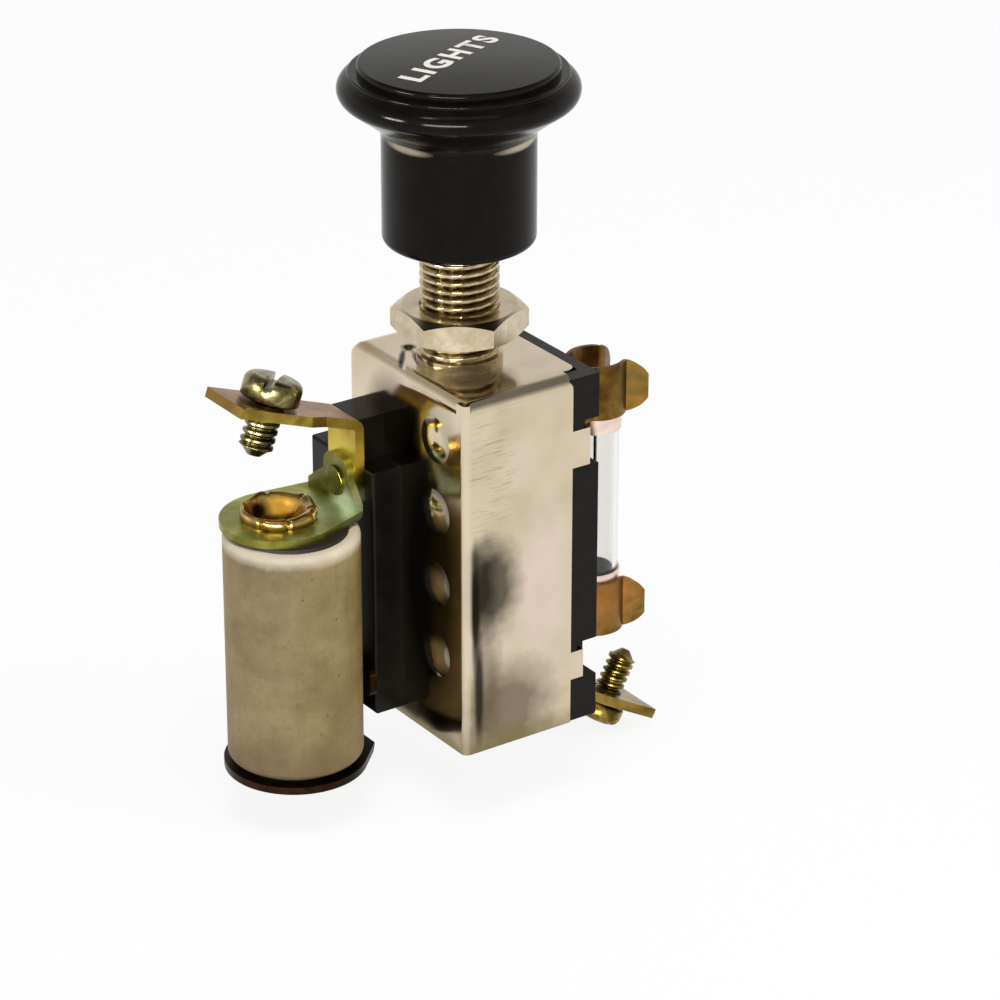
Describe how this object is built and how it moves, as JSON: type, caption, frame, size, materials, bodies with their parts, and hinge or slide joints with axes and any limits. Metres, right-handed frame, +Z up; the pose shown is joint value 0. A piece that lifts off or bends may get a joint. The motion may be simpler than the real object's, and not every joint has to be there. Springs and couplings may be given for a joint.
{
  "type": "push-pull light switch",
  "caption": "Push-pull headlamp switch with a round knob, threaded panel bushing, folded metal case, glass fuse in spring clips and a ceramic dimming resistor.",
  "frame": {"origin": "on the shaft axis, at the top face of the case, where the panel seats", "axes": "+Z up the shaft towards the knob, +X towards the fuse side, -X towards the resistor side, -Y the plain front of the case"},
  "size_m": [0.0575, 0.029, 0.0935],
  "materials": {
    "nickel_case": "bright nickel plate, lightly aged",
    "nickel_bushing": "turned and nickel plated",
    "black_moulding": "polished phenolic",
    "insert_brass": "turned",
    "shaft_steel": "ground",
    "brown_moulding": "moulded phenolic",
    "spring_steel": "hardened",
    "contact_brass": "plain",
    "fibre": "vulcanised fibre",
    "black_board": "pressed phenolic board",
    "clip_bronze": "darkened phosphor bronze",
    "cap_nickel": "nickel plated",
    "clear_glass": "clear",
    "fuse_metal": "drawn wire",
    "fired_clay": "unglazed ceramic",
    "dark_fibre": "heat-darkened fibre",
    "resistance_wire": "oxidised",
    "eyelet_brass": "rolled",
    "bracket_zinc": "yellow passivated zinc",
    "terminal_zinc": "yellow passivated zinc",
    "screw_zinc": "zinc plated",
    "rivet_brass": "headed"
  },
  "bodies": {
    "case": {"housing": "nickel_case", "bushing": "nickel_bushing", "panel_nut": "nickel_bushing", "liner": "fibre", "dim_contact": "contact_brass", "bright_contact": "contact_brass", "feed_rail": "contact_brass", "supply_link": "contact_brass", "fuse_board": "black_board", "fuse_clip_upper": "clip_bronze", "fuse_clip_lower": "clip_bronze", "fuse_clip_rivet_upper": "rivet_brass", "fuse_clip_rivet_lower": "rivet_brass", "fuse_tube": "clear_glass", "fuse_cap_upper": "cap_nickel", "fuse_cap_lower": "cap_nickel", "fuse_wire": "fuse_metal", "resistor_board": "black_board", "board_rivet_upper": "rivet_brass", "board_rivet_lower": "rivet_brass", "lamp_terminal": "terminal_zinc", "lamp_terminal_screw": "screw_zinc", "supply_terminal": "terminal_zinc", "supply_terminal_screw": "screw_zinc", "supply_terminal_rivet": "rivet_brass", "resistor_bracket_upper": "bracket_zinc", "resistor_bracket_lower": "bracket_zinc", "resistor_rivet_upper": "rivet_brass", "resistor_rivet_lower": "rivet_brass", "resistor_ceramic": "fired_clay", "resistor_washer_upper": "dark_fibre", "resistor_washer_lower": "dark_fibre", "resistor_coil": "resistance_wire", "resistor_eyelet": "eyelet_brass"},
    "plunger": {"knob": "black_moulding", "knob_insert": "insert_brass", "shaft": "shaft_steel", "carriage": "brown_moulding", "detent_ball_lower": "spring_steel", "detent_ball_upper": "spring_steel", "detent_spring": "spring_steel", "contact_bridge": "contact_brass"}
  },
  "joints": [
    {"name": "knob_pull", "type": "slide", "parent": "case", "child": "plunger", "axis": [0, 0, 1], "range_m": [0, 0.0188]}
  ]
}
